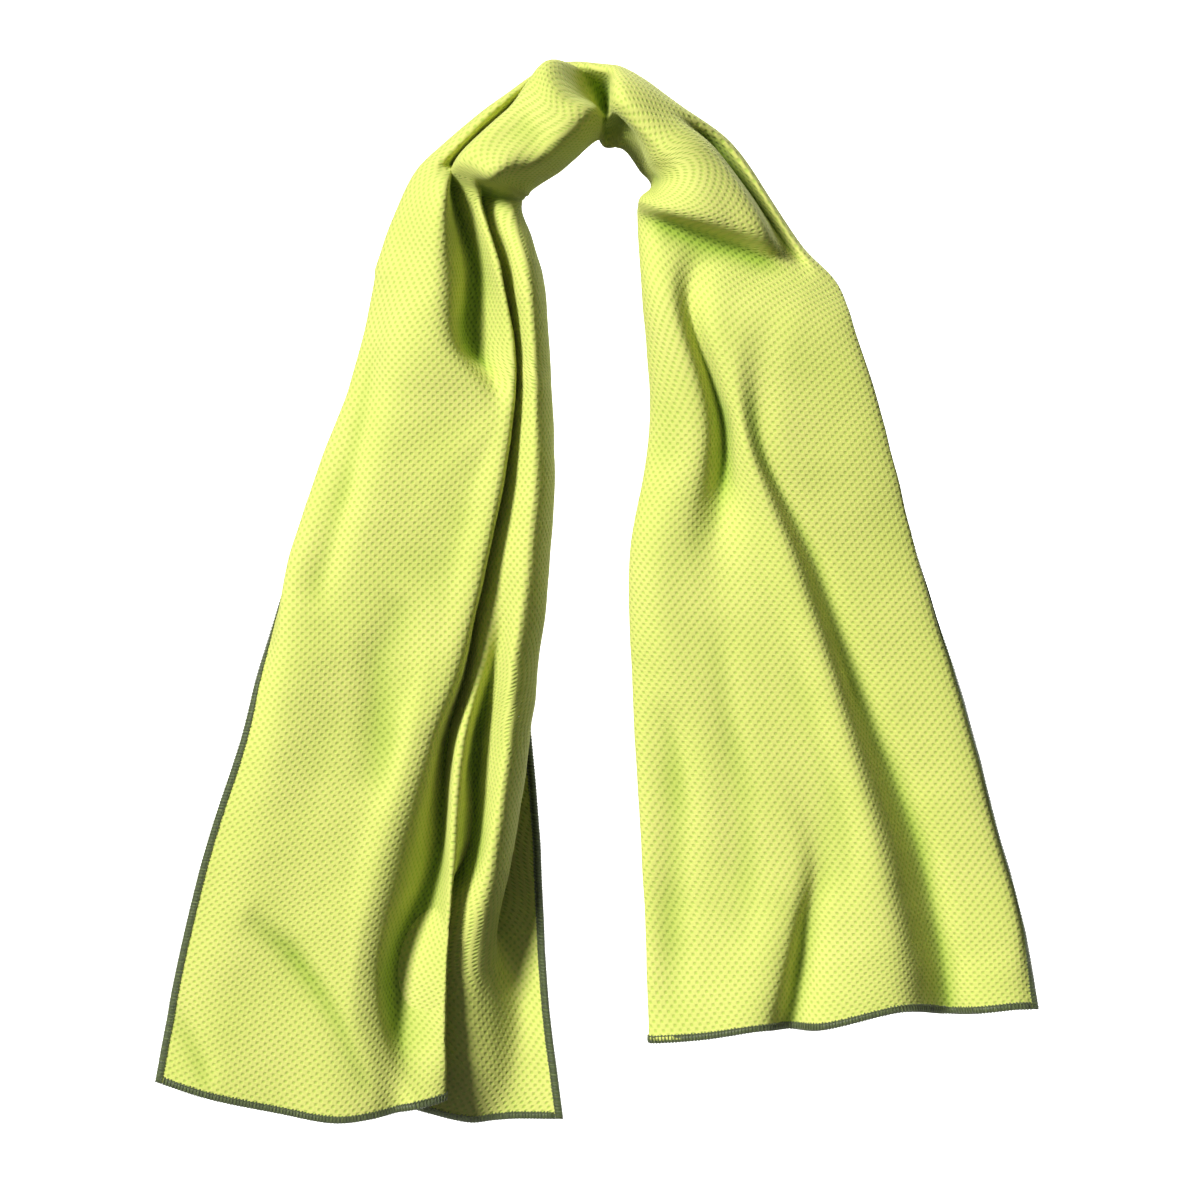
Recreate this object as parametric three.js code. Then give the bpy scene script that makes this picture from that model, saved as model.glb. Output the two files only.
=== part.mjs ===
import { BufferGeometry, CatmullRomCurve3, Float32BufferAttribute } from 'three'
import { Group, Mesh, MeshStandardMaterial, Vector3 } from 'three'

// A thin cooling towel that keeps the drape it has over the back of a neck.
// Millimetres. +Z is up, the front faces -Y, and the origin is where the neck bears on the cloth.

const towelLength = 1000
const towelWidth = 300
const clothThickness = 1.2

// The overlocked edging is a channel of thread around the edge of the cloth.
const edgingWidth = 3.4
const edgingThread = 0.5
const edgingClearance = 0.4
const edgingTipRounding = 0.3
const cornerGap = 0.3

// Mesh steps: cells from each knot to the next, and from each section to the next.
const cellsAcross = [2, 3, 3, 3, 3, 3, 3, 3, 3, 3, 3, 2, 2]
const cellsAlong = [2, 2, 2, 2, 3, 2, 2, 1, 2, 2, 2, 2, 2, 2, 2, 2, 2, 2, 2, 2, 2, 2, 2, 2, 2, 2]
const walkSteps = 12

// The drape, section by section from the left hem over the nape to the right hem.
// x, z: middle of the section, in thousandths of the length. tilt: turn of the section, in degrees.
// Each section has 14 knots from the outer edge to the inner edge, in percent of the width:
// across: along the section. forward: towards the front. drop: towards the hem.
const sections = [
  { name: 'left hem', x: -107, z: -412, tilt: -5.5,
    across: [-30, -22, -12, -3, 2, 5.5, 8.5, 12.5, -2, 16, 19.5, 22.5, 26.5, 30],
    forward: [19, 20.5, 21, 22, 21.5, 20, 21, 18.5, 11.5, 12, 11.5, 11.5, 12, 13],
    drop: [0.5, 2, 3, 3.5, 2.5, 1.5, 0.5, -1, 0, 3.5, 3, 2.5, 2, 1.5] },
  { name: 'above left hem', x: -106, z: -359, tilt: -4,
    across: [-27, -19.5, -10, -3, -0.5, 2.2, 4.9, 12.5, 0, 15.5, 18.5, 22.3, 25, 27],
    forward: [19, 20.5, 21, 22, 22.3, 21, 14.5, 19.8, 10.5, 16.3, 14.5, 9.5, 10, 11.5] },
  { name: 'two valleys', x: -101, z: -307, tilt: -3,
    across: [-24.5, -17.5, -9.5, -3, 1.4, 4, 9.2, 11.7, 13.2, 17.2, 20, 10, 20, 24.5],
    forward: [19, 20.5, 21, 21.5, 22.2, 20.8, 12, 20.5, 12, 20.3, 13, 5.5, 7, 9.5] },
  { name: 'under layer appears', x: -95, z: -255, tilt: -2,
    across: [-21, -16, -7.5, 0, 4, 6.6, 8.8, 11, 13.2, 17.8, 20.5, 5, 15, 21],
    forward: [18.5, 20.5, 20.5, 21, 22.2, 21.2, 12, 20, 11, 21, 12.5, 6, 3, 5.5] },
  { name: 'second valley opens', x: -89, z: -220, tilt: -1,
    across: [-20, -17, -8, 0.5, 5, 8.7, 9.9, 12, 13.7, 16.7, 20, 0, 9, 18],
    forward: [16.5, 20, 20.5, 21, 22, 21.7, 13.5, 18.3, 16.5, 21.5, 13, 8, 2.5, 3.5] },
  { name: 'outer edge rolls under', x: -82, z: -181, tilt: 0,
    across: [-18, -18.5, -12, -3, 4.5, 9.6, 9.3, 12, 14, 16.5, 19, -6, 5, 16],
    forward: [13, 18, 20, 20.5, 21, 22, 14, 18.5, 20.5, 22, 13.5, 9, 3, 3] },
  { name: 'left middle', x: -75, z: -140, tilt: 0,
    across: [-14.5, -17, -11, 0, 6, 10.2, 9.9, 12, 13.3, 15.3, 17.5, -4, 5, 14.5],
    forward: [10, 15.5, 19.5, 20.8, 21, 22, 14, 18.5, 20.5, 22, 13, 8.5, 2.5, 1] },
  { name: 'pocket closes', x: -69, z: -105, tilt: 0,
    across: [-9.5, -15, -9, 5, 8, 9.9, 9.6, 11, 12, 13.3, 15, -3, 5, 12.5],
    forward: [8, 14, 19, 20.6, 20.2, 20.6, 13.5, 17.5, 20, 21.3, 12, 6.5, 1, -1] },
  { name: 'pocket', x: -67, z: -81, tilt: 0,
    across: [-6, -13.5, -9.5, 0, 3.2, 9.2, 8.9, 10.4, 11.2, 12.3, 14, -2, 4.5, 11],
    forward: [6.5, 13, 18, 20.5, 12, 19.6, 13, 16.8, 19, 20.5, 11, 3.5, -1, -3] },
  { name: 'pocket mouth', x: -64, z: -48, tilt: -3,
    across: [-5, -11.5, -8, -2, 2.3, 6.3, 5.9, 7.8, 9, 10.3, 12, -2.5, 3.5, 9.5],
    forward: [6, 11.5, 16, 19.5, 9.5, 18.5, 11.5, 14.5, 17.3, 18.5, 9, 1, -3.5, -6.5] },
  { name: 'left collar', x: -60, z: -15, tilt: -12,
    across: [-2.5, -8.2, -6.2, -2.9, -2.2, 1.8, 2.4, 4, 5.5, 7, 7.8, -2.5, 3, 7],
    forward: [3, 9, 13.5, 17, 8.5, 14, 10, 11, 11.5, 11, 5, -2, -6.5, -9.5] },
  { name: 'band corner', x: -52, z: -5, tilt: -28,
    across: [-1.5, -7, -5.4, -3.9, -3.5, -1, 1.8, 3.4, 4.9, 6.3, 7, -3.5, 1.5, 5],
    forward: [2.5, 6.5, 10.5, 4.5, 16, 18, 19.5, 16.5, 13.5, 11, 4, -4, -8.5, -12] },
  { name: 'band', x: -32, z: 10, tilt: -49,
    across: [-2, -6.8, -6.2, -4.7, -4.4, -1.5, 1, 3.6, 5.4, 6.5, 6, -3.5, 1, 4],
    forward: [-0.5, 4, 7.5, 3, 13, 14.8, 16.2, 17, 13, 7, -0.5, -6.5, -11, -15] },
  { name: 'band top', x: -11, z: 26, tilt: -65,
    across: [-2, -5.6, -5.6, -5.7, -6.6, -3.4, -0.3, 2.4, 4.8, 6, 6, -3, 1, 4],
    forward: [-2.5, -1, 0.5, 2, 7.5, 12.3, 13.7, 13.5, 9.5, 4.5, -3, -8.5, -12.5, -16.5],
    drop: [0, 0, 0.5, 1, 1.5, 2.5, 1.6, -0.5, -0.6, 0, 0, 0, 0, 0] },
  { name: 'nape hollow', x: 0.5, z: 23, tilt: -87,
    across: [-2.5, -6, -5.3, -4.2, -2.8, -1, 0.9, 1.9, 2.3, 3.2, 6, -2.5, 1, 4],
    forward: [-6, 0, 3, 1, -2.5, -4.5, -4, -1, -1.5, -3.5, -6.5, -10.5, -14, -18],
    drop: [0, 0, 0, -0.2, -0.3, -0.3, -0.3, -0.2, 0, 0, 0, 0, 0, 0] },
  { name: 'right of the hollow', x: 11, z: 20, tilt: -101,
    across: [-2.5, -5.7, -5.2, -4, -2.5, -1, 0.1, 0.6, 0.6, 2, 5.2, -2.5, 1, 4],
    forward: [-3.5, 2.5, 8, 11, 13, 13.5, 12, 7.5, 2.5, -1, -6, -10, -13, -17],
    drop: [0, 0.4, 1.2, 1.7, 1.7, 1.5, 1.5, 1.3, 0.4, 0, 0, 0, 0, 0] },
  { name: 'right nape', x: 25, z: 6, tilt: -122,
    across: [-2.5, -6, -5.7, -4.8, -3.8, -2, 0.3, 1.8, 2.7, 3.2, 4.6, -2.5, 1, 4],
    forward: [-0.5, 4, 8.5, 10, 12, 14.5, 15.5, 14, 10, 4, -3, -7, -10, -13] },
  { name: 'right shoulder', x: 36, z: -4, tilt: -153,
    across: [-3, -7.5, -6.9, -5.3, -4.5, -2.3, 0.5, 2.4, 3.7, 4.3, 5, -2.5, 1, 4],
    forward: [-1.5, 3, 6, 3.2, 13, 16.2, 17, 15.5, 12.5, 6, -1, -4, -7.5, -10.5] },
  { name: 'right collar', x: 43, z: -26, tilt: -195,
    across: [-10, -14.8, -13.9, -12, -9.4, -4.3, -0.8, 3, 6.4, 9.2, 6.5, -6, 0.5, 6],
    forward: [3, 7.8, 10.5, 8, 16.8, 18.5, 19.2, 19, 17.5, 12, 4, 0, -3.5, -5.5] },
  { name: 'drag fold', x: 54, z: -39, tilt: -199,
    across: [-14.8, -17, -14, -10.8, -6, -1, 3.5, 7.5, 11, 13.6, 10.5, -8, -1, 8],
    forward: [9.7, 12.6, 13.6, 13.4, 13.8, 13.8, 14, 14, 13.5, 9.5, 4, 1.5, -2.5, -4] },
  { name: 'below the drag fold', x: 63, z: -66, tilt: -191,
    across: [-14, -15.6, -8, -3, 1.5, 5.5, 8.8, 11.4, 14, 15.5, 12, -9.5, -3, 8.5],
    forward: [14.8, 17.8, 20, 20, 20, 19.6, 17.2, 19.5, 18.5, 14.5, 7.5, 6, 1.5, 0] },
  { name: 'long ridge starts', x: 72, z: -118, tilt: -182,
    across: [-15.8, -16.8, -2.5, 1.6, 3.8, 5, 6.6, 9.4, 14, 17, 13, -10.5, -3, 8.5],
    forward: [17, 19.6, 21, 20.2, 22, 20.5, 15.4, 20.8, 19.5, 15.5, 9, 8.5, 4, 3] },
  { name: 'right middle', x: 75, z: -175, tilt: -180,
    across: [-20.4, -20.4, -9, -5.3, -2.4, 2.5, 8, 13.5, 18, 21, 15, -14, -6, 3],
    forward: [16.5, 19, 19.6, 18.6, 23, 21.7, 20, 20.3, 19.5, 16, 10, 9.5, 5, 5] },
  { name: 'right lower', x: 84, z: -236, tilt: -179,
    across: [-24.2, -23.1, -14, -9.5, -6, -0.8, 4.8, 11, 18.5, 23.5, 18, 0.5, -14, -12],
    forward: [17.6, 19.3, 19, 17.6, 23.5, 22.2, 21.5, 21, 19.8, 16.5, 11.5, 11, 10, 4.5] },
  { name: 'right low', x: 95, z: -300, tilt: -178,
    across: [-26.2, -25.1, -18, -13.8, -8.2, -2.8, 0.6, 4, 16, 26, 20.5, 3, -9, -13],
    forward: [17.6, 19.5, 19, 16.8, 24, 22.5, 21.3, 22, 20.6, 17.5, 12.5, 12, 11.5, 7] },
  { name: 'above right hem', x: 101, z: -339, tilt: -178,
    across: [-27.7, -26.6, -19.2, -15, -8.8, 0, 4.3, 7.2, 18, 27.5, 22.5, 8, -6.5, -14.5],
    forward: [18, 19.9, 19.2, 16.8, 24, 22.4, 19.6, 22.7, 20.5, 18, 13.5, 12.5, 12.5, 12.5] },
  { name: 'right hem', x: 106, z: -381, tilt: -174,
    across: [-28.5, -25.3, -20, -15.5, -8.5, 3.5, 8, 12.2, 21.5, 28.5, 23, 11, -2, -13],
    forward: [20, 20.9, 20, 17, 24, 22.5, 18.9, 23.2, 21.5, 18.5, 14, 13.5, 14, 14.5],
    drop: [0, 0.4, 0.3, 0.2, 2.4, 0.7, 0.8, 1.6, 0.9, 0.8, 1, 0.8, 0.8, 0.8] },
]

const clothHalf = clothThickness / 2
const channelHalf = clothHalf + edgingClearance
const edgingHalf = channelHalf + edgingThread
const tipHalf = edgingHalf - edgingTipRounding

// Grid lines beside each edge of the towel, by number and as distances in from the edge.
const gridLine = { edge: 0, thread: 1, cloth: 2, rim: 3, corner: 4 }
const linesIn = [0, edgingThread, edgingThread + edgingClearance, edgingWidth, edgingWidth + cornerGap]

function knotsOf(section) {
  const turn = section.tilt * Math.PI / 180
  const side = new Vector3(Math.cos(turn), 0, Math.sin(turn))
  const down = new Vector3(Math.sin(turn), 0, -Math.cos(turn))
  const front = new Vector3(0, -1, 0)
  const percent = towelWidth / 100
  return section.across.map((share, knot) => {
    const point = new Vector3(section.x, 0, section.z).multiplyScalar(towelLength / 1000)
    point.addScaledVector(side, share * percent)
    point.addScaledVector(front, section.forward[knot] * percent)
    point.addScaledVector(down, (section.drop ? section.drop[knot] : 0) * percent)
    return point
  })
}

// Where along the sections each row of the grid lies, for one knot: the edging's lines, then even steps.
function rowStations(curve) {
  const spans = sections.length - 1
  const firstSpan = curve.points[0].distanceTo(curve.points[1])
  const lastSpan = curve.points[spans].distanceTo(curve.points[spans - 1])
  const lines = linesIn.slice(0, gridLine.corner)
  const start = lines.map((distance) => distance / firstSpan)
  const end = lines.map((distance) => spans - distance / lastSpan).reverse()
  const middle = []
  cellsAlong.forEach((cells, span) => {
    for (let cell = span === 0 ? 1 : 0; cell < cells; cell++) middle.push(span + cell / cells)
  })
  return [...start, ...middle, ...end].map((station) => curve.getPoint(station / spans))
}

// A row's points: the edging's lines at both edges, and the cells between the knots.
function rowPoints(knots) {
  const curve = new CatmullRomCurve3(knots, false, 'centripetal')
  const walk = curve.getPoints((knots.length - 1) * walkSteps)
  const reached = [0]
  for (let i = 1; i < walk.length; i++) {
    reached.push(reached[i - 1] + walk[i].distanceTo(walk[i - 1]))
  }
  const total = reached[reached.length - 1]
  const margin = linesIn[gridLine.corner]
  const distances = [...linesIn]
  cellsAcross.forEach((cells, span) => {
    for (let cell = span === 0 ? 1 : 0; cell < cells; cell++) {
      const natural = reached[Math.round((span + cell / cells) * walkSteps)]
      distances.push(margin + natural * (total - 2 * margin) / total)
    }
  })
  for (let line = gridLine.corner; line >= 0; line--) distances.push(total - linesIn[line])
  let step = 1
  return distances.map((distance) => {
    while (step < reached.length - 1 && reached[step] < distance) step++
    const part = (distance - reached[step - 1]) / (reached[step] - reached[step - 1])
    return walk[step - 1].clone().lerp(walk[step], part)
  })
}

function frontNormal(grid, row, column) {
  const above = grid[Math.min(row + 1, grid.length - 1)][column]
  const below = grid[Math.max(row - 1, 0)][column]
  const next = grid[row][Math.min(column + 1, grid[row].length - 1)]
  const last = grid[row][Math.max(column - 1, 0)]
  const along = above.clone().sub(below)
  return next.clone().sub(last).cross(along).normalize()
}

const knotRows = sections.map(knotsOf)
const knotCurves = knotRows[0].map((_, knot) => {
  return new CatmullRomCurve3(knotRows.map((row) => row[knot]), false, 'centripetal')
})
const stations = knotCurves.map(rowStations)
const grid = stations[0].map((_, row) => rowPoints(stations.map((line) => line[row])))
const normals = grid.map((row, i) => row.map((_, j) => frontNormal(grid, i, j)))
const lastRow = grid.length - 1
const lastColumn = grid[0].length - 1

function lifted(row, column, lift) {
  return grid[row][column].clone().addScaledVector(normals[row][column], lift)
}

// A closed solid swept through rings of points. Point k of a ring faces point n - 1 - k across the wall.
// places gives each point's place along its line of the grid. Every cell is split from its lower place
// to its higher place in the next ring, so that walls which face each other are split alike.
function sweptSolid(rings, places) {
  const positions = rings.flat().flatMap((point) => [point.x, point.y, point.z])
  const count = places.length
  const indices = []
  const quad = (a, b, c, d) => indices.push(a, b, c, a, c, d)
  for (let ring = 0; ring < rings.length - 1; ring++) {
    for (let k = 0; k < count; k++) {
      const here = ring * count
      const there = here + count
      const next = (k + 1) % count
      if (places[k] <= places[next]) quad(here + k, here + next, there + next, there + k)
      else quad(here + next, there + next, there + k, here + k)
    }
  }
  const end = (rings.length - 1) * count
  for (let k = 0; k < count / 2 - 1; k++) {
    quad(k, count - 1 - k, count - 2 - k, k + 1)
    quad(end + k, end + k + 1, end + count - 2 - k, end + count - 1 - k)
  }
  const geometry = new BufferGeometry()
  geometry.setAttribute('position', new Float32BufferAttribute(positions, 3))
  geometry.setIndex(indices)
  geometry.computeVertexNormals()
  return geometry
}

function clothSolid() {
  const columns = []
  for (let column = gridLine.cloth; column <= lastColumn - gridLine.cloth; column++) {
    if (column !== gridLine.corner && column !== lastColumn - gridLine.corner) columns.push(column)
  }
  const section = [
    ...columns.map((column) => ({ column, lift: clothHalf })),
    ...columns.reverse().map((column) => ({ column, lift: -clothHalf })),
  ]
  const rings = []
  for (let row = gridLine.cloth; row <= lastRow - gridLine.cloth; row++) {
    rings.push(section.map(({ column, lift }) => lifted(row, column, lift)))
  }
  return sweptSolid(rings, section.map(({ column }) => column))
}

// The channel's section: which line in from the edge, and how far from the middle of the cloth.
const channelSection = [
  { line: gridLine.rim, lift: edgingHalf },
  { line: gridLine.edge, lift: tipHalf },
  { line: gridLine.edge, lift: -tipHalf },
  { line: gridLine.rim, lift: -edgingHalf },
  { line: gridLine.rim, lift: -channelHalf },
  { line: gridLine.thread, lift: -channelHalf },
  { line: gridLine.thread, lift: channelHalf },
  { line: gridLine.rim, lift: channelHalf },
]

function sideEdging(atInnerEdge) {
  const section = channelSection.map(({ line, lift }) => {
    return { column: atInnerEdge ? lastColumn - line : line, lift }
  })
  if (!atInnerEdge) section.reverse()
  const rings = grid.map((_, row) => section.map(({ column, lift }) => lifted(row, column, lift)))
  return sweptSolid(rings, section.map(({ column }) => column))
}

function hemEdging(atRightHem) {
  const section = channelSection.map(({ line, lift }) => {
    return { row: atRightHem ? lastRow - line : line, lift }
  })
  if (atRightHem) section.reverse()
  const rings = []
  for (let column = gridLine.corner; column <= lastColumn - gridLine.corner; column++) {
    rings.push(section.map(({ row, lift }) => lifted(row, column, lift)))
  }
  return sweptSolid(rings, section.map(({ row }) => row))
}

const clothMaterial = new MeshStandardMaterial({ color: '#c8da55', roughness: 0.9, metalness: 0 })
clothMaterial.name = 'lime_mesh_knit'
const threadMaterial = new MeshStandardMaterial({ color: '#4b5720', roughness: 0.8, metalness: 0 })
threadMaterial.name = 'olive_thread'

const pieces = [
  { name: 'towel_cloth', solid: clothSolid(), material: clothMaterial },
  { name: 'edging_outer_side', solid: sideEdging(false), material: threadMaterial },
  { name: 'edging_inner_side', solid: sideEdging(true), material: threadMaterial },
  { name: 'edging_left_hem', solid: hemEdging(false), material: threadMaterial },
  { name: 'edging_right_hem', solid: hemEdging(true), material: threadMaterial },
]

const towel = new Group()
towel.name = 'cooling_towel'
for (const { name, solid, material } of pieces) {
  const mesh = new Mesh(solid, material.clone())
  mesh.name = name
  towel.add(mesh)
}

export default towel
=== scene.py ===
import math

import bpy
import numpy as np
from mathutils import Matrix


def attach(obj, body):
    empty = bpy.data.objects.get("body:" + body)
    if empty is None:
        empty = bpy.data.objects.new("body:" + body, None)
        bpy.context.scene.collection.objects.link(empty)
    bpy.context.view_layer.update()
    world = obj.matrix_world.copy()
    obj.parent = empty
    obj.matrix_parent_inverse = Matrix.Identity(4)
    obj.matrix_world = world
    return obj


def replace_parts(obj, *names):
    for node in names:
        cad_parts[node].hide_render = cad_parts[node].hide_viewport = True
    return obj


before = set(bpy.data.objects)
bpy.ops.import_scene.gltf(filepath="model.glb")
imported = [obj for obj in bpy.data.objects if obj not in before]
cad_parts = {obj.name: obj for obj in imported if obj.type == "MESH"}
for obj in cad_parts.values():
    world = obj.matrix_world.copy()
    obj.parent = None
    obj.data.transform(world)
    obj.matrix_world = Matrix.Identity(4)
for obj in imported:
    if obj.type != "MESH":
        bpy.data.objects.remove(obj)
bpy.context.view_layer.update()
print("frame loaded")

# The towel's drape, in metres. The surface is a grid: rows lie across the towel, from the left hem over the
# nape to the right hem, and columns run along it, from the outer edge to the inner edge.
drape = {
    "length": 1.000,
    "width": 0.300,
    "stepsPerSection": 11,   # rows from one section to the next
    "stepsPerKnot": 12,      # columns from one knot to the next
    "softening": 1,          # rounds of smoothing, so that a crest is round as knit folds
    "edgeLines": (0, 0.0009, 0.0018, 0.0027, 0.0036),  # lines along each edge; the cloth ends at the second
    "edgeMargin": 0.0046,    # the other rows and columns start this far in
}

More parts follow.
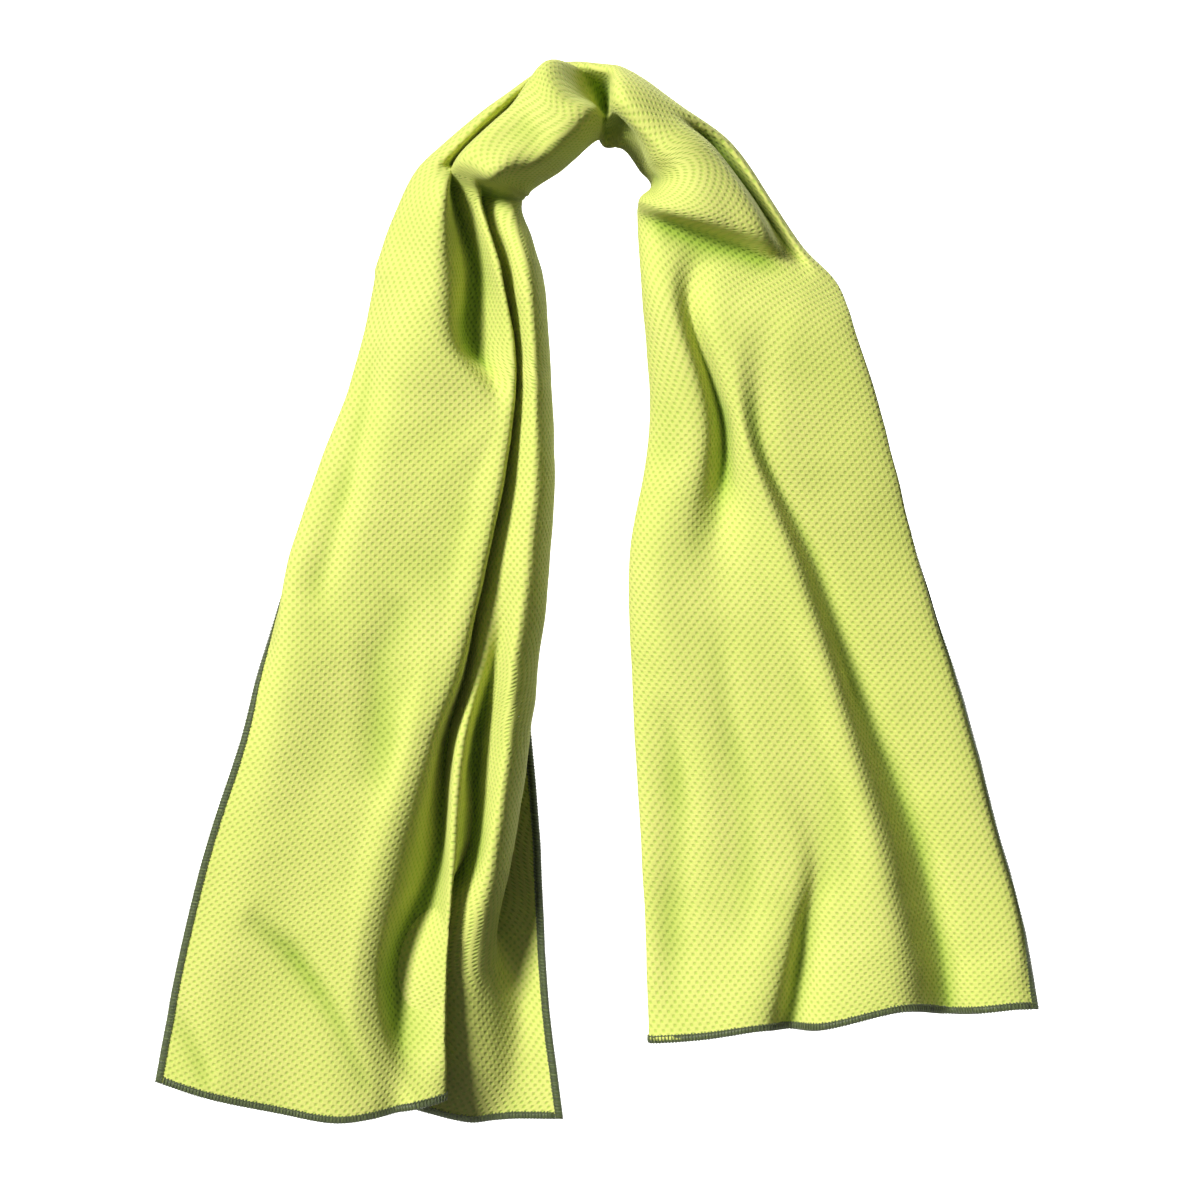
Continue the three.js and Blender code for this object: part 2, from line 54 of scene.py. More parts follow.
# Sections from the left hem over the nape to the right hem. x and z are the middle of the section, in
# thousandths of the length, and tilt is its turn in degrees. Each section has 14 knots from the outer edge to
# the inner edge, in percent of the width: along the section, towards the front, and (drop) towards the hem.
sections = [
    {"x": -107, "z": -412, "tilt": -5.5,  # left hem
     "along": [-30, -22, -12, -3, 2, 5.5, 8.5, 12.5, -2, 16, 19.5, 22.5, 26.5, 30],
     "front": [19, 20.5, 21, 22, 21.5, 20, 21, 18.5, 11.5, 12, 11.5, 11.5, 12, 13],
     "drop": [0.5, 2, 3, 3.5, 2.5, 1.5, 0.5, -1, 0, 3.5, 3, 2.5, 2, 1.5]},
    {"x": -106, "z": -359, "tilt": -4,  # above the left hem
     "along": [-27, -19.5, -10, -3, -0.5, 2.2, 4.9, 12.5, 0, 15.5, 18.5, 22.3, 25, 27],
     "front": [19, 20.5, 21, 22, 22.3, 21, 14.5, 19.8, 10.5, 16.3, 14.5, 9.5, 10, 11.5]},
    {"x": -101, "z": -307, "tilt": -3,  # two valleys
     "along": [-24.5, -17.5, -9.5, -3, 1.4, 4, 9.2, 11.7, 13.2, 17.2, 20, 10, 20, 24.5],
     "front": [19, 20.5, 21, 21.5, 22.2, 20.8, 12, 20.5, 12, 20.3, 13, 5.5, 7, 9.5]},
    {"x": -95, "z": -255, "tilt": -2,  # the under layer shows
     "along": [-21, -16, -7.5, 0, 4, 6.6, 8.8, 11, 13.2, 17.8, 20.5, 5, 15, 21],
     "front": [18.5, 20.5, 20.5, 21, 22.2, 21.2, 12, 20, 11, 21, 12.5, 6, 3, 5.5]},
    {"x": -89, "z": -220, "tilt": -1,  # the second valley opens
     "along": [-20, -17, -8, 0.5, 5, 8.7, 9.9, 12, 13.7, 16.7, 20, 0, 9, 18],
     "front": [16.5, 20, 20.5, 21, 22, 21.7, 13.5, 18.3, 16.5, 21.5, 13, 8, 2.5, 3.5]},
    {"x": -82, "z": -181, "tilt": 0,  # the outer edge rolls under
     "along": [-18, -18.5, -12, -3, 4.5, 9.6, 9.3, 12, 14, 16.5, 19, -6, 5, 16],
     "front": [13, 18, 20, 20.5, 21, 22, 14, 18.5, 20.5, 22, 13.5, 9, 3, 3]},
    {"x": -75, "z": -140, "tilt": 0,  # middle of the left tail
     "along": [-14.5, -17, -11, 0, 6, 10.2, 9.9, 12, 13.3, 15.3, 17.5, -4, 5, 14.5],
     "front": [10, 15.5, 19.5, 20.8, 21, 22, 14, 18.5, 20.5, 22, 13, 8.5, 2.5, 1]},
    {"x": -69, "z": -105, "tilt": 0,  # the pocket closes
     "along": [-9.5, -15, -9, 5, 8, 9.9, 9.6, 11, 12, 13.3, 15, -3, 5, 12.5],
     "front": [8, 14, 19, 20.6, 20.2, 20.6, 13.5, 17.5, 20, 21.3, 12, 6.5, 1, -1]},
    {"x": -67, "z": -81, "tilt": 0,  # pocket
     "along": [-6, -13.5, -9.5, 0, 3.2, 9.2, 8.9, 10.4, 11.2, 12.3, 14, -2, 4.5, 11],
     "front": [6.5, 13, 18, 20.5, 12, 19.6, 13, 16.8, 19, 20.5, 11, 3.5, -1, -3]},
    {"x": -64, "z": -48, "tilt": -3,  # mouth of the pocket
     "along": [-5, -11.5, -8, -2, 2.3, 6.3, 5.9, 7.8, 9, 10.3, 12, -2.5, 3.5, 9.5],
     "front": [6, 11.5, 16, 19.5, 9.5, 18.5, 11.5, 14.5, 17.3, 18.5, 9, 1, -3.5, -6.5]},
    {"x": -60, "z": -15, "tilt": -12,  # left collar
     "along": [-2.5, -8.2, -6.2, -2.9, -2.2, 1.8, 2.4, 4, 5.5, 7, 7.8, -2.5, 3, 7],
     "front": [3, 9, 13.5, 17, 8.5, 14, 10, 11, 11.5, 11, 5, -2, -6.5, -9.5]},
    {"x": -52, "z": -5, "tilt": -28,  # corner of the band
     "along": [-1.5, -7, -5.4, -3.9, -3.5, -1, 1.8, 3.4, 4.9, 6.3, 7, -3.5, 1.5, 5],
     "front": [2.5, 6.5, 10.5, 4.5, 16, 18, 19.5, 16.5, 13.5, 11, 4, -4, -8.5, -12]},
    {"x": -32, "z": 10, "tilt": -49,  # the band over the left of the nape
     "along": [-2, -6.8, -6.2, -4.7, -4.4, -1.5, 1, 3.6, 5.4, 6.5, 6, -3.5, 1, 4],
     "front": [-0.5, 4, 7.5, 3, 13, 14.8, 16.2, 17, 13, 7, -0.5, -6.5, -11, -15]},
    {"x": -11, "z": 26, "tilt": -65,  # top of the band
     "along": [-2, -5.6, -5.6, -5.7, -6.6, -3.4, -0.3, 2.4, 4.8, 6, 6, -3, 1, 4],
     "front": [-2.5, -1, 0.5, 2, 7.5, 12.3, 13.7, 13.5, 9.5, 4.5, -3, -8.5, -12.5, -16.5],
     "drop": [0, 0, 0.5, 1, 1.5, 2.5, 1.6, -0.5, -0.6, 0, 0, 0, 0, 0]},
    {"x": 0.5, "z": 23, "tilt": -87,  # the hollow at the top
     "along": [-2.5, -6, -5.3, -4.2, -2.8, -1, 0.9, 1.9, 2.3, 3.2, 6, -2.5, 1, 4],
     "front": [-6, 0, 3, 1, -2.5, -4.5, -4, -1, -1.5, -3.5, -6.5, -10.5, -14, -18],
     "drop": [0, 0, 0, -0.2, -0.3, -0.3, -0.3, -0.2, 0, 0, 0, 0, 0, 0]},
    {"x": 11, "z": 20, "tilt": -101,  # right of the hollow
     "along": [-2.5, -5.7, -5.2, -4, -2.5, -1, 0.1, 0.6, 0.6, 2, 5.2, -2.5, 1, 4],
     "front": [-3.5, 2.5, 8, 11, 13, 13.5, 12, 7.5, 2.5, -1, -6, -10, -13, -17],
     "drop": [0, 0.4, 1.2, 1.7, 1.7, 1.5, 1.5, 1.3, 0.4, 0, 0, 0, 0, 0]},
    {"x": 25, "z": 6, "tilt": -122,  # right of the nape
     "along": [-2.5, -6, -5.7, -4.8, -3.8, -2, 0.3, 1.8, 2.7, 3.2, 4.6, -2.5, 1, 4],
     "front": [-0.5, 4, 8.5, 10, 12, 14.5, 15.5, 14, 10, 4, -3, -7, -10, -13]},
    {"x": 36, "z": -4, "tilt": -153,  # right shoulder
     "along": [-3, -7.5, -6.9, -5.3, -4.5, -2.3, 0.5, 2.4, 3.7, 4.3, 5, -2.5, 1, 4],
     "front": [-1.5, 3, 6, 3.2, 13, 16.2, 17, 15.5, 12.5, 6, -1, -4, -7.5, -10.5]},
    {"x": 43, "z": -26, "tilt": -195,  # right collar
     "along": [-10, -14.8, -13.9, -12, -9.4, -4.3, -0.8, 3, 6.4, 9.2, 6.5, -6, 0.5, 6],
     "front": [3, 7.8, 10.5, 8, 16.8, 18.5, 19.2, 19, 17.5, 12, 4, 0, -3.5, -5.5]},
    {"x": 54, "z": -39, "tilt": -199,  # the drag fold
     "along": [-14.8, -17, -14, -10.8, -6, -1, 3.5, 7.5, 11, 13.6, 10.5, -8, -1, 8],
     "front": [9.7, 12.6, 13.6, 13.4, 13.8, 13.8, 14, 14, 13.5, 9.5, 4, 1.5, -2.5, -4]},
    {"x": 63, "z": -66, "tilt": -191,  # below the drag fold
     "along": [-14, -15.6, -8, -3, 1.5, 5.5, 8.8, 11.4, 14, 15.5, 12, -9.5, -3, 8.5],
     "front": [14.8, 17.8, 20, 20, 20, 19.6, 17.2, 19.5, 18.5, 14.5, 7.5, 6, 1.5, 0]},
    {"x": 72, "z": -118, "tilt": -182,  # the long ridge starts
     "along": [-15.8, -16.8, -2.5, 1.6, 3.8, 5, 6.6, 9.4, 14, 17, 13, -10.5, -3, 8.5],
     "front": [17, 19.6, 21, 20.2, 22, 20.5, 15.4, 20.8, 19.5, 15.5, 9, 8.5, 4, 3]},
    {"x": 75, "z": -175, "tilt": -180,  # middle of the right tail
     "along": [-20.4, -20.4, -9, -5.3, -2.4, 2.5, 8, 13.5, 18, 21, 15, -14, -6, 3],
     "front": [16.5, 19, 19.6, 18.6, 23, 21.7, 20, 20.3, 19.5, 16, 10, 9.5, 5, 5]},
    {"x": 84, "z": -236, "tilt": -179,  # the long ridge widens
     "along": [-24.2, -23.1, -14, -9.5, -6, -0.8, 4.8, 11, 18.5, 23.5, 18, 0.5, -14, -12],
     "front": [17.6, 19.3, 19, 17.6, 23.5, 22.2, 21.5, 21, 19.8, 16.5, 11.5, 11, 10, 4.5]},
    {"x": 95, "z": -300, "tilt": -178,  # lower right tail
     "along": [-26.2, -25.1, -18, -13.8, -8.2, -2.8, 0.6, 4, 16, 26, 20.5, 3, -9, -13],
     "front": [17.6, 19.5, 19, 16.8, 24, 22.5, 21.3, 22, 20.6, 17.5, 12.5, 12, 11.5, 7]},
    {"x": 101, "z": -339, "tilt": -178,  # above the right hem
     "along": [-27.7, -26.6, -19.2, -15, -8.8, 0, 4.3, 7.2, 18, 27.5, 22.5, 8, -6.5, -14.5],
     "front": [18, 19.9, 19.2, 16.8, 24, 22.4, 19.6, 22.7, 20.5, 18, 13.5, 12.5, 12.5, 12.5]},
    {"x": 106, "z": -381, "tilt": -174,  # right hem
     "along": [-28.5, -25.3, -20, -15.5, -8.5, 3.5, 8, 12.2, 21.5, 28.5, 23, 11, -2, -13],
     "front": [20, 20.9, 20, 17, 24, 22.5, 18.9, 23.2, 21.5, 18.5, 14, 13.5, 14, 14.5],
     "drop": [0, 0.4, 0.3, 0.2, 2.4, 0.7, 0.8, 1.6, 0.9, 0.8, 1, 0.8, 0.8, 0.8]},
]
knotCount = len(sections[0]["along"])


def knotPoints():
    # Middle of the section, plus steps along its turned line, towards the front and across the line.
    points = []
    for section in sections:
        turn = math.radians(section["tilt"])
        side = np.array([math.cos(turn), 0, math.sin(turn)])
        down = np.array([math.sin(turn), 0, -math.cos(turn)])
        along, front, drop = (np.array(section.get(name, [0] * knotCount))[:, None] * drape["width"] / 100
                              for name in ("along", "front", "drop"))
        middle = np.array([section["x"], 0, section["z"]]) * drape["length"] / 1000
        points.append(middle + along * side + front * np.array([0, -1, 0]) + drop * down)
    return np.array(points)


def curveAt(points, stations):
    # Catmull-Rom curve through points, its speed at each span set by the root of the chord. A station is
    # counted in points, and every other axis of points holds curves of its own.
    padded = np.concatenate([2 * points[:1] - points[1:2], points, 2 * points[-1:] - points[-2:-1]])
    span = np.clip(np.floor(stations).astype(int), 0, len(points) - 2)
    part = (stations - span).reshape(-1, *[1] * (points.ndim - 1))
    a, b, c, d = (padded[span + i] for i in range(4))
    u, v, w = (np.sqrt(np.linalg.norm(q - p, axis=-1, keepdims=True)) + 1e-6
               for p, q in ((a, b), (b, c), (c, d)))
    m = ((b - a) / u - (c - a) / (u + v) + (c - b) / v) * v
    k = ((c - b) / v - (d - b) / (v + w) + (d - c) / w) * v
    return b + m * part + (3 * (c - b) - 2 * m - k) * part ** 2 + (2 * (b - c) + m + k) * part ** 3


def softened(grid, rounds):
    # Each inner point goes halfway to the mean of its neighbours, along the rows and then along the columns,
    # and a border point only along its border.
    for _ in range(rounds):
        wide = grid.copy()
        wide[:, 1:-1] += 0.25 * (grid[:, :-2] + grid[:, 2:] - 2 * grid[:, 1:-1])
        grid = wide.copy()
        grid[1:-1] += 0.25 * (wide[:-2] + wide[2:] - 2 * wide[1:-1])
    return grid


def edgeNormals(grid):
    # Cross product of the steps across the towel and along it, which faces the front.
    normals = np.cross(np.gradient(grid, axis=1), np.gradient(grid, axis=0))
    return normals / np.linalg.norm(normals, axis=2, keepdims=True)


def towelGrid():
    # The curves through the knots are softened, then read at rows and columns that keep the edge lines
    # at their true distance from the towel's four edges.
    perSection, perKnot = drape["stepsPerSection"], drape["stepsPerKnot"]
    edgeLines, edgeMargin = np.array(drape["edgeLines"]), drape["edgeMargin"]
    spans, walks = len(sections) - 1, knotCount - 1
    rough = curveAt(knotPoints(), np.linspace(0, spans, spans * perSection + 1))
    rough = curveAt(rough.swapaxes(0, 1), np.linspace(0, walks, walks * perKnot + 1)).swapaxes(0, 1)
    rough = softened(rough, drape["softening"])

    step = np.linalg.norm(np.diff(rough, axis=0), axis=2).mean(axis=1)
    first, last, rows = step[0], step[-1], len(rough) - 1
    between = np.linspace(edgeMargin / first, rows - edgeMargin / last, rows - 2)
    rowStations = np.concatenate([edgeLines / first, between, rows - edgeLines[::-1] / last])
    rough = curveAt(rough, rowStations)

    reached = np.cumsum(np.linalg.norm(np.diff(rough, axis=1, prepend=rough[:, :1]), axis=2), axis=1)
    grid = []
    for row, distance in zip(rough, reached):
        total = distance[-1]
        inner = edgeMargin + distance[1:-1] * (total - 2 * edgeMargin) / total
        wanted = np.concatenate([edgeLines, inner, total - edgeLines[::-1]])
        grid.append(np.stack([np.interp(wanted, distance, row[:, axis]) for axis in range(3)], axis=1))
    return np.array(grid)


def clothPlan(grid):
    # Where each grid point lies on the flat knit, in metres: across is the path from the outer edge, and
    # length is the mean path of the columns from the nape's row, so that the knit's courses run straight.
    across = np.cumsum(np.linalg.norm(np.diff(grid, axis=1, prepend=grid[:, :1]), axis=2), axis=1)
    step = np.linalg.norm(np.diff(grid, axis=0, prepend=grid[:1]), axis=2)
    length = np.cumsum(step.mean(axis=1))
    length = np.broadcast_to((length - length[len(grid) // 2])[:, None], across.shape)
    return np.stack([across, length], axis=2)


# Slow unevenness of the hanging knit, as a sum of waves with seeded directions and phases.
unevenness = {
    "seed": 7,
    "waves": 26,
    "shortest": 0.014,       # metres
    "longest": 0.060,
    "height": 0.00016,       # root mean square
}


def unevenHeight(plan):
    # Sum of sines over the flat knit, longer waves being higher.
    dice = np.random.default_rng(unevenness["seed"])
    height = np.zeros(plan.shape[:2])
    for _ in range(unevenness["waves"]):
        wave = dice.uniform(unevenness["shortest"], unevenness["longest"])
        turn, phase = dice.uniform(0, math.pi), dice.uniform(0, 2 * math.pi)
        path = plan[..., 0] * math.cos(turn) + plan[..., 1] * math.sin(turn)
        height += wave * np.sin(2 * math.pi * path / wave + phase)
    return height * unevenness["height"] / height.std()


# Soft creases where a panel hangs slack: a path seen from the front (x and z in thousandths of the length),
# the knots between which it runs, how wide it is and how deep, in metres.
creases = [
    {"path": [(-97, -50), (-103, -85), (-110, -130), (-117, -160), (-127, -196)], "knots": (0, 5),
     "width": 0.0080, "depth": 0.0042},
    {"path": [(-86, -190), (-99, -216), (-98, -244), (-101, -275)], "knots": (1, 5),
     "width": 0.0080, "depth": 0.0022},
    {"path": [(-156, -330), (-138, -346), (-122, -368), (-101, -408)], "knots": (0, 5),
     "width": 0.0052, "depth": 0.0030},
    {"path": [(-188, -372), (-172, -404)], "knots": (0, 4), "width": 0.0045, "depth": 0.0020},
    {"path": [(30, -236), (31, -300), (29, -385)], "knots": (7, 10), "width": 0.0085, "depth": 0.0034},
    {"path": [(50, -200), (58, -279), (63, -348)], "knots": (5, 9), "width": 0.0070, "depth": 0.0016},
]


def creaseDepth(grid):
    # A valley of depth * exp(-(distance / width)^2), shallower towards both ends of its path.
    column = np.linspace(0, knotCount - 1, grid.shape[1])
    seen = grid[..., [0, 2]] * 1000 / drape["length"]
    total = np.zeros(grid.shape[:2])
    for crease in creases:
        path = np.array(crease["path"], dtype=float)
        nearest = np.full(grid.shape[:2], np.inf)
        reached = np.zeros(grid.shape[:2])
        for k, (start, end) in enumerate(zip(path[:-1], path[1:])):
            part = np.clip((seen - start) @ (end - start) / ((end - start) @ (end - start)), 0, 1)
            distance = np.linalg.norm(seen - start - part[..., None] * (end - start), axis=2)
            reached = np.where(distance < nearest, (k + part) / (len(path) - 1), reached)
            nearest = np.minimum(nearest, distance)
        low, high = crease["knots"]
        within = np.clip(column - low, 0, 1) * np.clip(high - column, 0, 1)
        width = crease["width"] * 1000 / drape["length"]
        total += (crease["depth"] * np.sin(math.pi * reached) ** 0.5 * within
                  * np.exp(-(nearest / width) ** 2))
    return total


def makePiece(name, points, faces, plan, material, hollow=None):
    # A smooth mesh whose map "plan" holds a place for each point, carried by the root body. An optional point
    # attribute holds how much painted shade each point gets in a fold.
    mesh = bpy.data.meshes.new(name)
    mesh.from_pydata(points.tolist(), [], faces)
    if hollow is not None:
        mesh.attributes.new("hollow", "FLOAT", "POINT").data.foreach_set("value", hollow.astype(np.float32))
    layer = mesh.uv_layers.new(name="plan")
    corners = np.empty(len(mesh.loops), dtype=np.int32)
    mesh.loops.foreach_get("vertex_index", corners)
    layer.data.foreach_set("uv", plan[corners].astype(np.float32).ravel())
    mesh.polygons.foreach_set("use_smooth", np.ones(len(mesh.polygons), dtype=bool))
    mesh.materials.append(material)
    mesh.update()
    piece = bpy.data.objects.new(name, mesh)
    bpy.context.scene.collection.objects.link(piece)
    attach(piece, "root")
    return piece


def ringFaces(rings, count):
    # Quads between neighbouring rings of count points, and a flat face on each end.
    ring, point = np.meshgrid(np.arange(rings - 1), np.arange(count), indexing="ij")
    here, after = ring * count, (point + 1) % count
    quads = np.stack([here + point, here + after, here + count + after, here + count + point], axis=2)
    first = list(range(count))[::-1]
    last = [(rings - 1) * count + k for k in range(count)]
    return quads.reshape(-1, 4).tolist() + [first, last]


def linearColor(hexColor):
    # sRGB hex to linear light.
    parts = [int(hexColor[i:i + 2], 16) / 255 for i in (1, 3, 5)]
    return [p / 12.92 if p <= 0.04045 else ((p + 0.055) / 1.055) ** 2.4 for p in parts] + [1.0]


def addNode(material, kind, settings=None, inputs=None):
    # settings are the node's own options; inputs are values, or outputs of other nodes to link. On a Mix
    # node input 0 is the share, 6 and 7 are the two colours, and output 2 is the mixed one.
    node = material.node_tree.nodes.new(kind)
    for name, value in (settings or {}).items():
        setattr(node, name, value)
    for name, value in (inputs or {}).items():
        if isinstance(value, bpy.types.NodeSocket):
            material.node_tree.links.new(value, node.inputs[name])
        else:
            node.inputs[name].default_value = value
    return node


def newMaterial(name):
    material = bpy.data.materials.new(name)
    material.use_nodes = True
    material.node_tree.nodes.clear()
    return material


knit = {
    "acrossPitch": 0.0038,   # dimple to dimple in a row
    "lengthPitch": 0.0037,   # row to row of like dimples, with a shifted row between
    "dimpleRim": -0.1,       # where on the lattice, from -1 to 1, a dimple starts
    "relief": 0.00032,       # depth of a dimple
    "reliefStrength": 0.8,
    "loopPitch": 0.0010,     # knit loops are 0.5 mm apart, drawn at twice that so that they show
    "loopShare": 0.35,       # height of the loops, as a share of the dimples'
    "light": "#cecc74",
    "deep": "#bec85f",       # where the dye looks fuller
    "patchScale": 28.0,      # patches of fuller dye to the metre
    # the dimples' colour is painted shade in them
    "dimple": "#acbf54",
    "hollow": "#94ac3c",     # painted shade deep in a fold: on the face here, in the dimples below
    "hollowDimple": "#6c8926",
    "roughness": 0.88,
    "fuzz": 0.18,            # sheen of the fine fibre ends
    "fuzzTint": "#e9f0a8",
}


def limeMeshKnit():
    # Polyester mesh knit, piece-dyed lime: a matt, slightly fuzzy face of fine loops, with a diamond lattice of
    # small dimples where the knit opens, whose relief is a bump and whose greener, darker colour is painted
    # shade.
    # Deep in a fold the face and the dimples are painted darker and greener still, as painted shade.
    material = newMaterial("lime_mesh_knit")
    plan = addNode(material, "ShaderNodeUVMap", {"uv_map": "plan"})
    parts = addNode(material, "ShaderNodeSeparateXYZ", None, {0: plan.outputs["UV"]})
    waves = []
    for axis, pitch in (("X", knit["acrossPitch"]), ("Y", knit["lengthPitch"])):
        angle = addNode(material, "ShaderNodeMath", {"operation": "MULTIPLY"},
                        {0: parts.outputs[axis], 1: 2 * math.pi / pitch})
        waves.append(addNode(material, "ShaderNodeMath", {"operation": "COSINE"}, {0: angle.outputs[0]}))
    lattice = addNode(material, "ShaderNodeMath", {"operation": "MULTIPLY"},
                      {0: waves[0].outputs[0], 1: waves[1].outputs[0]})
    dimple = addNode(material, "ShaderNodeMapRange", {"interpolation_type": "SMOOTHSTEP"},
                     {"Value": lattice.outputs[0], "From Min": knit["dimpleRim"], "From Max": 1.0})
    patches = addNode(material, "ShaderNodeTexNoise", None,
                      {"Vector": plan.outputs["UV"], "Scale": knit["patchScale"], "Detail": 3.0})
    ground = addNode(material, "ShaderNodeMix", {"data_type": "RGBA"},
                     {0: patches.outputs[0], 6: linearColor(knit["light"]), 7: linearColor(knit["deep"])})
    # Painted shade in folds: how much of it each point gets, read from the mesh's point attribute.
    paintedShadeShare = addNode(material, "ShaderNodeAttribute", {"attribute_name": "hollow"})
    face = addNode(material, "ShaderNodeMix", {"data_type": "RGBA"},
                   {0: paintedShadeShare.outputs["Fac"], 6: ground.outputs[2], 7: linearColor(knit["hollow"])})
    pit = addNode(material, "ShaderNodeMix", {"data_type": "RGBA"},
                  {0: paintedShadeShare.outputs["Fac"], 6: linearColor(knit["dimple"]),
                   7: linearColor(knit["hollowDimple"])})
    # Painted shade in the dimples: their colour where the lattice opens.
    color = addNode(material, "ShaderNodeMix", {"data_type": "RGBA"},
                    {0: dimple.outputs[0], 6: face.outputs[2], 7: pit.outputs[2]})
    loops = addNode(material, "ShaderNodeTexNoise", None,
                    {"Vector": plan.outputs["UV"], "Scale": 1 / knit["loopPitch"], "Detail": 1.0})
    height = addNode(material, "ShaderNodeMath", {"operation": "MULTIPLY_ADD"},
                     {0: loops.outputs[0], 1: knit["loopShare"], 2: 0.0})
    lowered = addNode(material, "ShaderNodeMath", {"operation": "SUBTRACT"},
                      {0: height.outputs[0], 1: dimple.outputs[0]})
    relief = addNode(material, "ShaderNodeBump", None,
                     {"Strength": knit["reliefStrength"], "Distance": knit["relief"],
                      "Height": lowered.outputs[0]})
    shader = addNode(material, "ShaderNodeBsdfPrincipled", None, {
        "Base Color": color.outputs[2], "Roughness": knit["roughness"], "IOR": 1.45, "Specular IOR Level": 0.2,
        "Sheen Weight": knit["fuzz"], "Sheen Roughness": 0.5, "Sheen Tint": linearColor(knit["fuzzTint"]),
        "Normal": relief.outputs["Normal"]})
    addNode(material, "ShaderNodeOutputMaterial", None, {"Surface": shader.outputs[0]})
    return material


thread = {
    "shadeDyeGlint": [(0.30, "#242c0e"), (0.52, "#3a4618"), (0.72, "#66733a")],  # painted shade between strands, the dye, a painted glint
    "shadeScale": 1.7,       # changes between painted shade, dye and painted glint in a stitch
    "roughness": 0.55,
    "fuzz": 0.2,
}


def oliveThread():
    # Spun polyester overlock thread, dyed olive: dense and dark, with a soft shine where a strand turns to
    # the light. Its colour changes at random between a painted shade, the dye and a painted glint.
    material = newMaterial("olive_overlock_thread")
    plan = addNode(material, "ShaderNodeUVMap", {"uv_map": "plan"})
    shadeDyeGlint = addNode(material, "ShaderNodeTexNoise", None,
                     {"Vector": plan.outputs["UV"], "Scale": thread["shadeScale"], "Detail": 2.0})
    color = addNode(material, "ShaderNodeValToRGB", None, {0: shadeDyeGlint.outputs[0]})
    color.color_ramp.elements.new(0.5)
    for stop, (place, shade) in zip(color.color_ramp.elements, thread["shadeDyeGlint"]):
        stop.position, stop.color = place, linearColor(shade)
    shader = addNode(material, "ShaderNodeBsdfPrincipled", None, {
        "Base Color": color.outputs[0], "Roughness": thread["roughness"], "IOR": 1.5,
        "Specular IOR Level": 0.4, "Sheen Weight": thread["fuzz"], "Sheen Roughness": 0.5})
    addNode(material, "ShaderNodeOutputMaterial", None, {"Surface": shader.outputs[0]})
    return material


cloth = {
    "wall": 0.0012,
    "foldRounds": 40,        # rounds of smoothing that even out the folds
    "deepFold": 0.0030,      # a deep fold lies this far behind the evened drape, and gets the full painted shade
}

grid = towelGrid()
plan = clothPlan(grid)
grid = grid + edgeNormals(grid) * (unevenHeight(plan) - creaseDepth(grid))[..., None]
normals = edgeNormals(grid)
print("towel grid", grid.shape)


def hollowness():
    # How far the evened drape lies in front of the cloth, as a share of a deep fold: above 0 in a hollow,
    # and below 0 on a crest, which is a hollow of the back face. It sets the share of painted shade in folds.
    ahead = ((softened(grid, cloth["foldRounds"]) - grid) * normals).sum(axis=2)
    return np.clip(ahead / cloth["deepFold"], -1, 1)


def clothPiece():
    # The grid lifted half a wall to the front and to the back, joined by a rim round its four edges.
    inner = (slice(1, -1), slice(1, -1))
    middle, facing, flat = grid[inner], normals[inner], plan[inner]
    rows, columns = middle.shape[:2]
    front = (middle + facing * cloth["wall"] / 2).reshape(-1, 3)
    back = (middle - facing * cloth["wall"] / 2).reshape(-1, 3)
    at = np.arange(rows * columns).reshape(rows, columns)
    face = np.stack([at[:-1, :-1], at[:-1, 1:], at[1:, 1:], at[1:, :-1]], axis=2).reshape(-1, 4)
    around = np.concatenate([at[0, :-1], at[:-1, -1], at[-1, :0:-1], at[:0:-1, 0]])
    after = np.roll(around, -1)
    count = rows * columns
    rim = np.stack([after, around, around + count, after + count], axis=1)
    quads = np.concatenate([face, face[:, ::-1] + count, rim]).tolist()
    flat = flat.reshape(-1, 2)
    # Painted shade in folds: the front face's hollows, and on crests the back face's.
    hollow = hollowness()[inner].ravel()
    return makePiece("towel_knit", np.concatenate([front, back]), quads, np.concatenate([flat, flat]),
                     limeMeshKnit(), np.clip(np.concatenate([hollow, -hollow]), 0, 1))


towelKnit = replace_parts(clothPiece(), "towel_cloth")
print("knit cloth made")

edging = {
    "stitch": 0.0015,        # from one stitch to the next
    "reach": 0.0032,         # how far a stitch reaches in from the edge
    "raggedness": 0.0003,    # how much that differs between stitches
    "seed": 11,              # of the ragged stitches, one more for each strip
    "pathDetail": 12,        # steps of an edge's path for each of its grid points
    "strand": 0.00030,       # radius of the wrapping thread
    "strandSteps": 12,       # for each stitch
    "strandSides": 6,
    "strandLift": 0.00010,   # the middle of the strand lies this far off the bed
    "pastEdge": 0.0002,      # a loop's outer end stands out this far past the edge
    "pastReach": 0.0001,     # and its inner end this far past the reach
    "leanPower": 0.8,        # a loop's section, where 1 is an ellipse and less is squarer
    "liftPower": 0.45,
    "bedHeight": 0.00086,    # from the middle of the cloth
    "bedStep": 0.003,
    "bedProfile": [(0.9, 1), (0.0, 0.8), (0.0, -0.8), (0.9, -1),  # shares of the reach and of the bed's height
                   (0.9, -0.75), (0.3, -0.75), (0.3, 0.75), (0.9, 0.75)],
    "seam": 0.00021,         # radius of the thread along the seam line
    "seamPlace": 0.0029,     # in from the edge
    "seamSway": 0.00022,     # and to both sides of that
    "seamHeight": 0.00098,   # from the middle of the cloth
    "seamRise": 0.0001,
    "seamSteps": 6,          # for each stitch
    "seamSides": 4,
    "seamShade": 40,         # stitches between the shades of the front and the back thread and the strand's
}
threadMaterial = oliveThread()


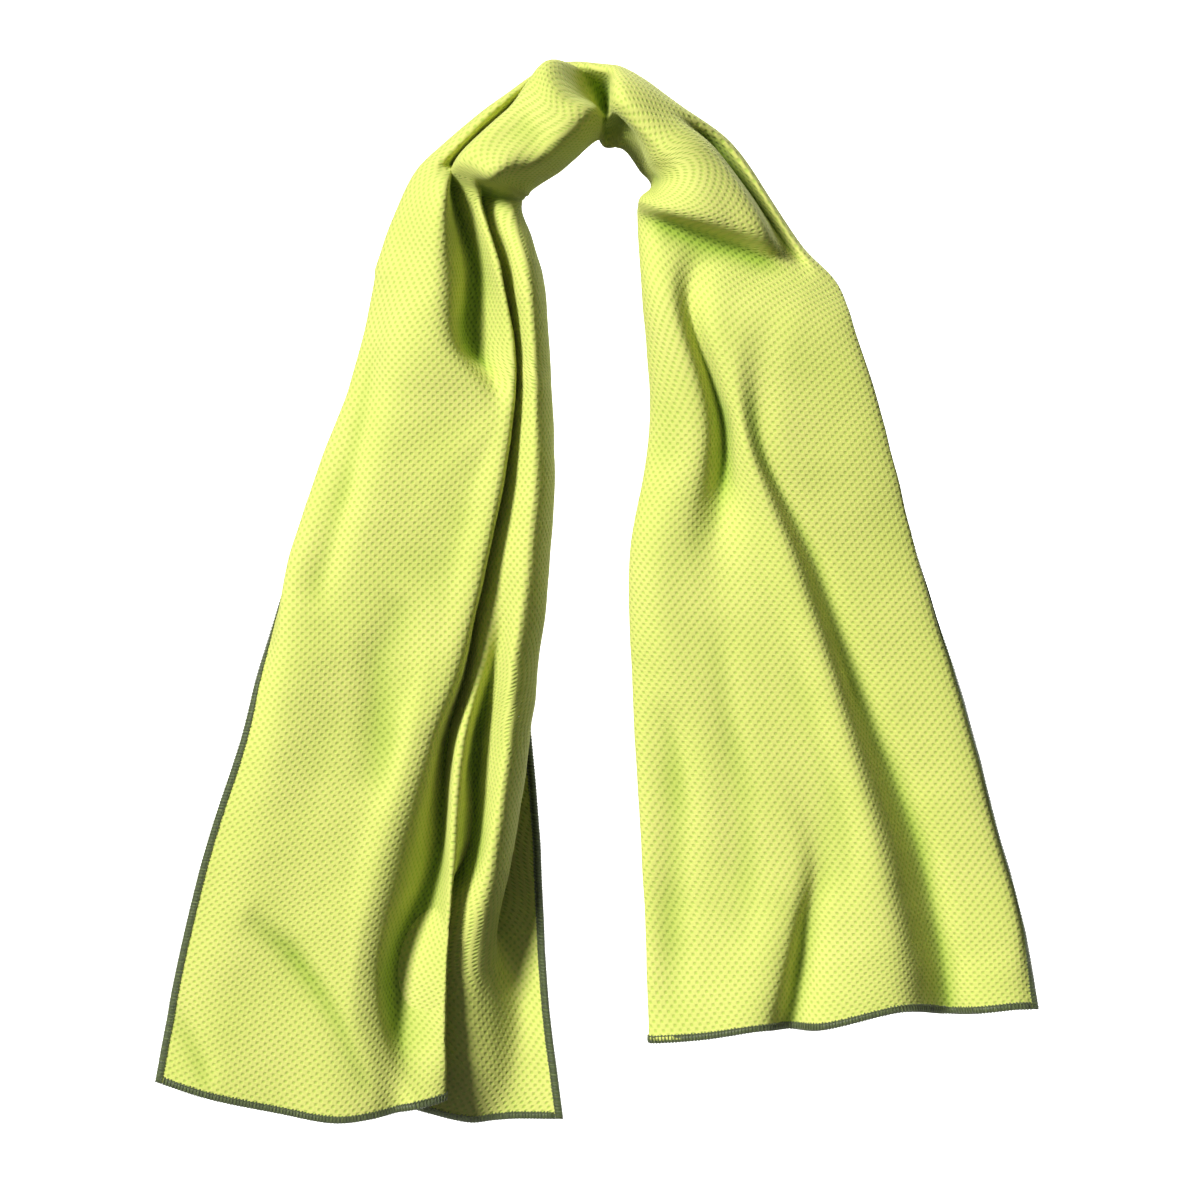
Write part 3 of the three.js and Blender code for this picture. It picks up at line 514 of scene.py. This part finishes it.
def edgeFrames(outer, inner, facing, spacing):
    # Even steps along an edge: its points, the way in across the cloth, the cloth's front, and the distance
    # run.
    stations = np.linspace(0, len(outer) - 1, edging["pathDetail"] * len(outer))
    dense = curveAt(outer, stations)
    run = np.cumsum(np.linalg.norm(np.diff(dense, axis=0, prepend=dense[:1]), axis=1))
    count = int(run[-1] / spacing)
    even = np.interp(np.linspace(0, run[-1], count + 1), run, stations)
    points = curveAt(outer, even)
    front = curveAt(facing, even)
    front /= np.linalg.norm(front, axis=1, keepdims=True)
    inward = curveAt(inner, even) - points
    inward -= front * (inward * front).sum(axis=1, keepdims=True)
    inward /= np.linalg.norm(inward, axis=1, keepdims=True)
    return points, inward, front, np.linspace(0, run[-1], count + 1)


def tube(path, across, radius, sides):
    # Rings of points round a path. across is a direction near the tube's side, made square to the path.
    ahead = np.gradient(path, axis=0)
    ahead /= np.linalg.norm(ahead, axis=1, keepdims=True)
    up = across - ahead * (across * ahead).sum(axis=1, keepdims=True)
    up /= np.linalg.norm(up, axis=1, keepdims=True)
    side = np.cross(ahead, up)
    turns = np.linspace(0, 2 * math.pi, sides, endpoint=False)
    ring = radius * (np.cos(turns)[:, None] * up[:, None] + np.sin(turns)[:, None] * side[:, None])
    return (path[:, None] + ring).reshape(-1, 3), ringFaces(len(path), sides)


def edgingBed(outer, inner, facing):
    # The profile of a U-shaped channel over the cloth's edge, carried along it.
    points, inward, front, run = edgeFrames(outer, inner, facing, edging["bedStep"])
    outlines = [points + inward * way * edging["reach"] + front * rise * edging["bedHeight"]
                for way, rise in edging["bedProfile"]]
    return (np.stack(outlines, axis=1).reshape(-1, 3), ringFaces(len(points), len(outlines)),
            np.repeat(run / edging["stitch"], len(outlines)))


def wrappingStrand(outer, inner, facing, seed):
    # One strand winds round the edge. Each stitch is a flattened loop: its way in follows the cosine of the
    # turn and its height the sine, each raised to a power with its sign kept.
    steps, sides = edging["strandSteps"], edging["strandSides"]
    points, inward, front, run = edgeFrames(outer, inner, facing, edging["stitch"] / steps)
    step = np.arange(len(points))
    turn = 2 * math.pi * step / steps
    ragged = np.random.default_rng(seed).uniform(-1, 1, step[-1] // steps + 1) * edging["raggedness"]
    ragged = np.interp(step, np.arange(len(ragged)) * steps + steps / 2, ragged)
    farIn, farOut = edging["reach"] + ragged + edging["pastReach"], edging["pastEdge"]
    lean, lift = (np.sign(wave) * np.abs(wave) ** power for wave, power in
                  ((np.cos(turn), edging["leanPower"]), (np.sin(turn), edging["liftPower"])))
    way = inward * ((farIn - farOut) / 2 - (farIn + farOut) / 2 * lean)[:, None]
    rise = front * (lift * (edging["bedHeight"] + edging["strandLift"]))[:, None]
    path = points + way + rise
    middle = points + inward * (edging["reach"] / 2)
    vertices, faces = tube(path, path - middle, edging["strand"], sides)
    return vertices, faces, np.repeat(run / edging["stitch"], sides)


def seamThread(outer, inner, facing, side):
    # A thread beside the loops' inner ends, on the front (side 1) or the back (side -1), which goes round a
    # small ellipse with each stitch.
    steps, sides = edging["seamSteps"], edging["seamSides"]
    points, inward, front, run = edgeFrames(outer, inner, facing, edging["stitch"] / steps)
    turn = 2 * math.pi * np.arange(len(points)) / steps
    path = (points + inward * (edging["seamPlace"] + edging["seamSway"] * np.sin(turn))[:, None]
            + front * (side * (edging["seamHeight"] + edging["seamRise"] * np.cos(turn)))[:, None])
    vertices, faces = tube(path, front * side, edging["seam"], sides)
    return vertices, faces, np.repeat(run / edging["stitch"] + edging["seamShade"] * side, sides)


def edgingPiece(name, node, outer, inner, facing, seed):
    # Bed, strand and seam threads in one mesh, whose map counts the stitches along the edge.
    parts = [edgingBed(outer, inner, facing), wrappingStrand(outer, inner, facing, seed),
             seamThread(outer, inner, facing, 1), seamThread(outer, inner, facing, -1)]
    vertices, stitches = (np.concatenate([part[k] for part in parts]) for k in (0, 2))
    faces, count = [], 0
    for partVertices, partFaces, _ in parts:
        faces += [[count + k for k in face] for face in partFaces]
        count += len(partVertices)
    flat = np.stack([stitches, np.zeros(len(stitches))], axis=1)
    piece = makePiece(name, vertices, faces, flat, threadMaterial)
    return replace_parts(piece, node)


under = len(drape["edgeLines"]) - 1    # the innermost grid line under the edging
halfway = under // 2
between = slice(under, -under)         # the hems' edging runs between the sides' edging
strips = [
    ("overlock_outer_side", "edging_outer_side", grid[:, 0], grid[:, under], normals[:, halfway]),
    ("overlock_inner_side", "edging_inner_side",
     grid[:, -1], grid[:, -1 - under], normals[:, -1 - halfway]),
    ("overlock_left_hem", "edging_left_hem",
     grid[0, between], grid[under, between], normals[halfway, between]),
    ("overlock_right_hem", "edging_right_hem",
     grid[-1, between], grid[-1 - under, between], normals[-1 - halfway, between]),
]
overlock = [edgingPiece(*strip, seed) for seed, strip in enumerate(strips, edging["seed"])]
print("overlocked edging made")

studio = {
    "floorHeight": -0.62,
    "paper": "#f4f4f2",
    "bendStart": 3.2,        # the paper bends up all round, further off than any view stands
    "bendRadius": 1.7,
    "bendSteps": 17,
    "wallHeight": 6.0,
    "roundSteps": 96,
    "middleHole": 0.01,      # radius of the small face in the middle of the floor
    "paperGlow": 0.85,       # the paper has lamps of its own
    "keyStrength": 5.5,      # a lamp at the upper left in front, which shades the folds
    "keyTurn": (60, 0, -40),  # degrees
    "keySoftness": 15,       # degrees that the light spans
    "fillStrength": 0.34,    # a wide soft box in front
    "fillTurn": (58, 0, -12),
    "fillSoftness": 110,
    "backStrength": 2.6,     # a soft box behind, which the front doesn't see
    "backTurn": (66, 0, 160),
    "backSoftness": 50,
    "roomColor": (0.95, 0.97, 1.0, 1.0),  # linear, a faint cool light from all round
    "roomStrength": 0.03,
}


def paperSweep():
    # A round floor that bends up into a wall: a line out, a quarter circle and a line up, turned about z.
    bend = np.linspace(0, math.pi / 2, studio["bendSteps"])
    radius = np.concatenate([[studio["middleHole"]], studio["bendStart"] + studio["bendRadius"] * np.sin(bend),
                             [studio["bendStart"] + studio["bendRadius"]]])
    height = np.concatenate([[0], studio["bendRadius"] * (1 - np.cos(bend)), [studio["wallHeight"]]])
    turn = np.linspace(0, 2 * math.pi, studio["roundSteps"], endpoint=False)[None, :]
    rings = np.stack([radius[:, None] * np.cos(turn), radius[:, None] * np.sin(turn),
                      height[:, None] + studio["floorHeight"] + 0 * turn], axis=2)
    mesh = bpy.data.meshes.new("paper_sweep")
    mesh.from_pydata(rings.reshape(-1, 3).tolist(), [], ringFaces(len(radius), turn.size)[:-1])  # open above
    mesh.polygons.foreach_set("use_smooth", np.ones(len(mesh.polygons), dtype=bool))
    paper = newMaterial("white_paper")
    shader = addNode(paper, "ShaderNodeBsdfPrincipled", None,
                     {"Base Color": linearColor(studio["paper"]), "Roughness": 0.9, "Specular IOR Level": 0.1,
                      "Emission Color": linearColor(studio["paper"]), "Emission Strength": studio["paperGlow"]})
    addNode(paper, "ShaderNodeOutputMaterial", None, {"Surface": shader.outputs[0]})
    mesh.materials.append(paper)
    sweep = bpy.data.objects.new("paper_sweep", mesh)
    bpy.context.scene.collection.objects.link(sweep)
    sweep.visible_diffuse = False  # the paper throws no light back up into the folds
    sweep.visible_shadow = False   # and lets the lights outside it through


paperSweep()

for name in ("key", "fill", "back"):
    light = bpy.data.objects.new(name + "_light", bpy.data.lights.new(name + "_light", "SUN"))
    light.data.energy = studio[name + "Strength"]
    light.data.angle = math.radians(studio[name + "Softness"])
    light.rotation_euler = [math.radians(a) for a in studio[name + "Turn"]]
    bpy.context.scene.collection.objects.link(light)

world = bpy.data.worlds.new("soft_room")
world.use_nodes = True
background = world.node_tree.nodes["Background"]
background.inputs["Color"].default_value = studio["roomColor"]
background.inputs["Strength"].default_value = studio["roomStrength"]
bpy.context.scene.world = world
bpy.context.scene.view_settings.view_transform = "Standard"

# A longish lens, a little above the middle of the towel. frame is what the square picture spans at the target.
view = {
    "target": (-0.0013, -0.060, -0.192),
    "distance": 2.0,
    "elevation": 5,          # degrees
    "frame": 0.522,
    "sensor": 36,            # mm
    "clipEnd": 50,
}
tilt = math.radians(view["elevation"])
camera = bpy.data.objects.new("camera", bpy.data.cameras.new("camera"))
camera.data.sensor_width = view["sensor"]
camera.data.lens = view["sensor"] * view["distance"] / view["frame"]
camera.data.clip_end = view["clipEnd"]
camera.location = np.array(view["target"]) - view["distance"] * np.array([0, math.cos(tilt), -math.sin(tilt)])
camera.rotation_euler = (math.pi / 2 - tilt, 0, 0)
bpy.context.scene.collection.objects.link(camera)
bpy.context.scene.camera = camera

print("studio and camera set")
